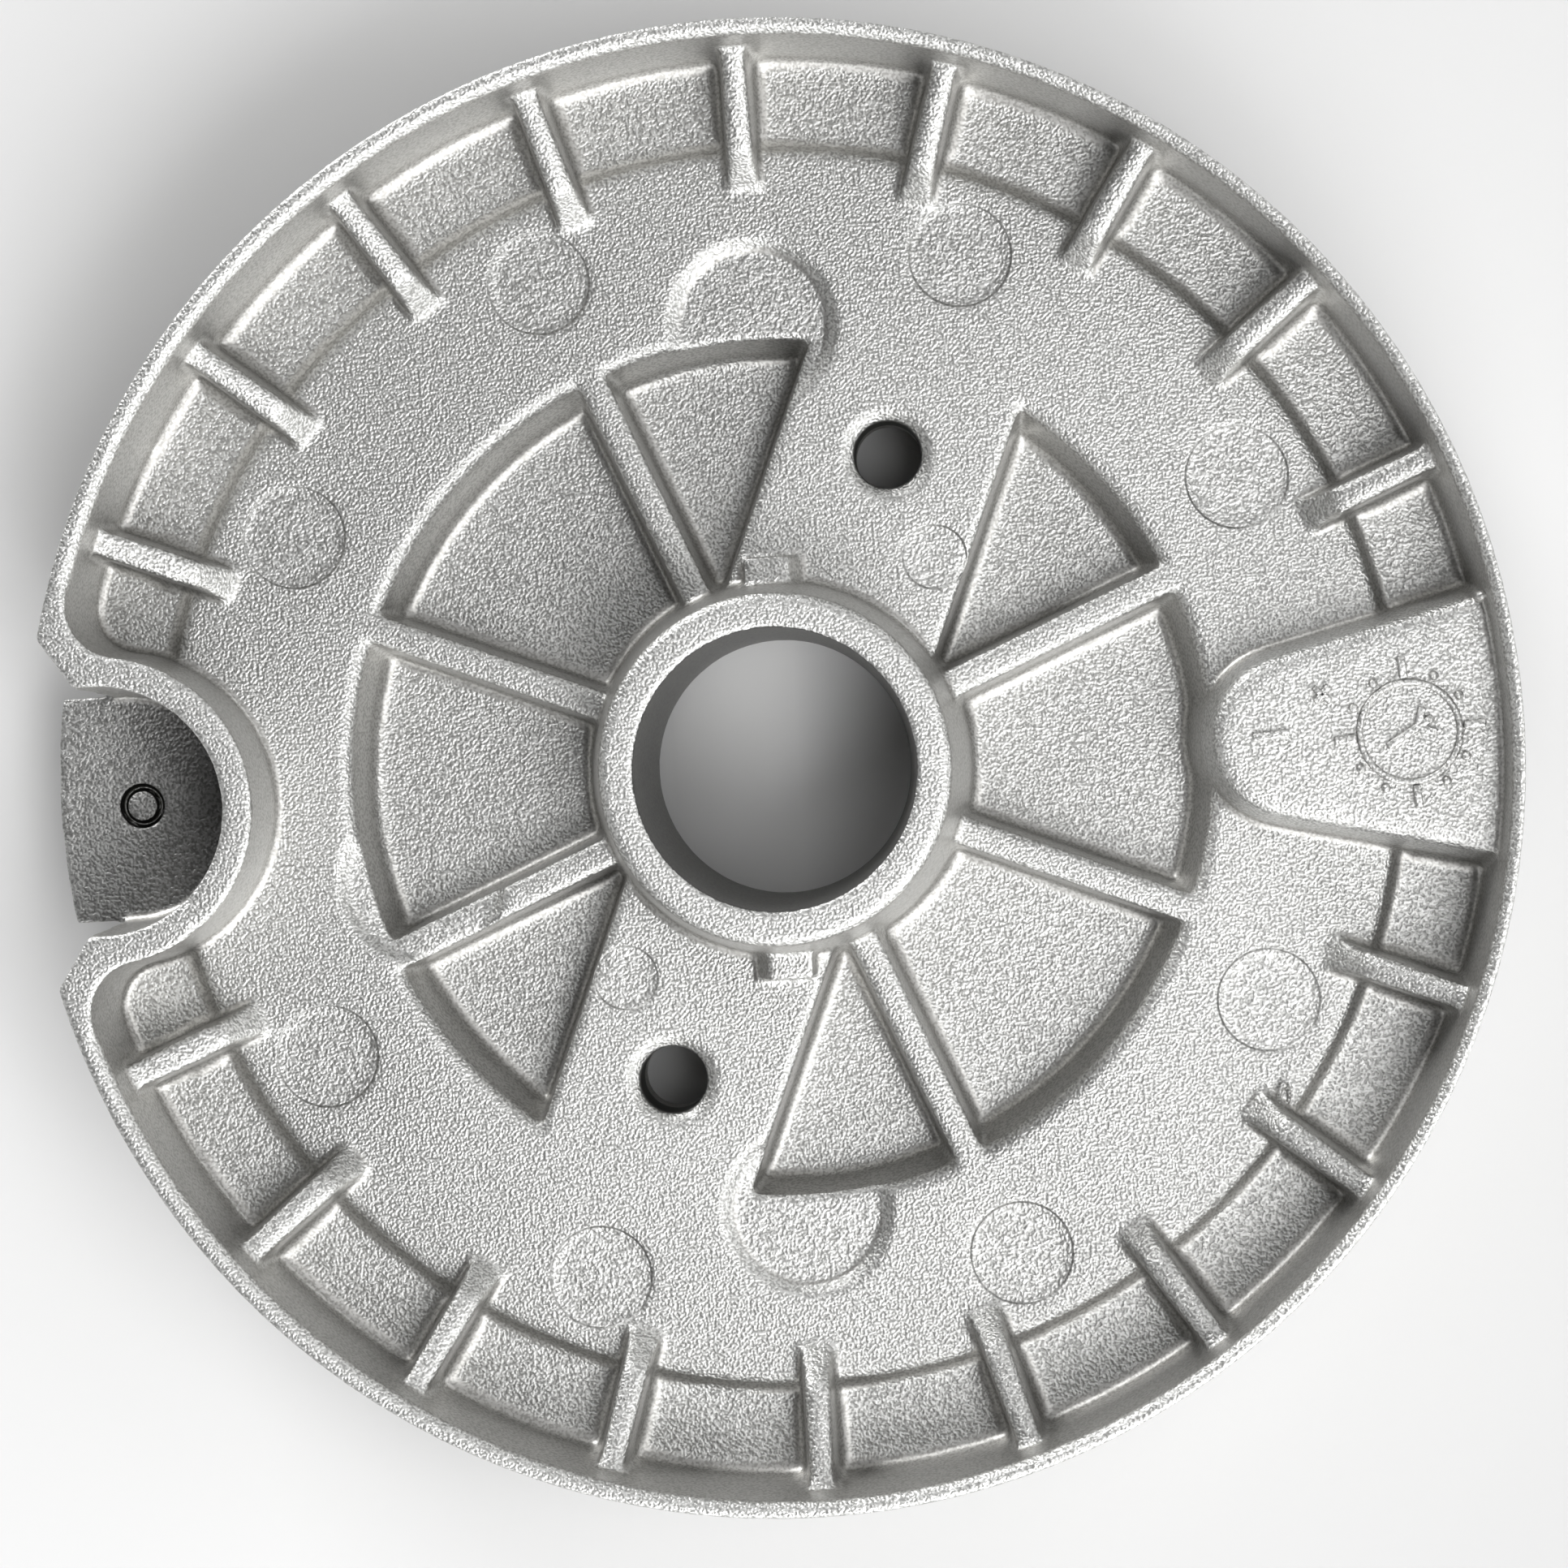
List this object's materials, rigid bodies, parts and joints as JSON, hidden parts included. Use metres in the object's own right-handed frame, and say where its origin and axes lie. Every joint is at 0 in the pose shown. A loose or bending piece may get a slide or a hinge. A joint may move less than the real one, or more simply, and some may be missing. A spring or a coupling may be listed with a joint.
{
  "type": "gas hob burner body",
  "caption": "Round die-cast burner body with a tall rim, a central hub with a bore, radial ribs, a raised pad, an electrode notch and a slotted flame crown.",
  "frame": {"origin": "on the bore's axis, at the plane that the flame crown stands on", "axes": "+Z along the bore from the flame side to the hub's seat face, +X towards the raised pad, -X towards the electrode notch"},
  "size_m": [0.115, 0.115, 0.022],
  "materials": {
    "burner_casting": "as cast, fine grain on floors and tops, smooth drafted walls"
  },
  "bodies": {
    "root": {"burner_casting": "burner_casting"}
  },
  "joints": []
}
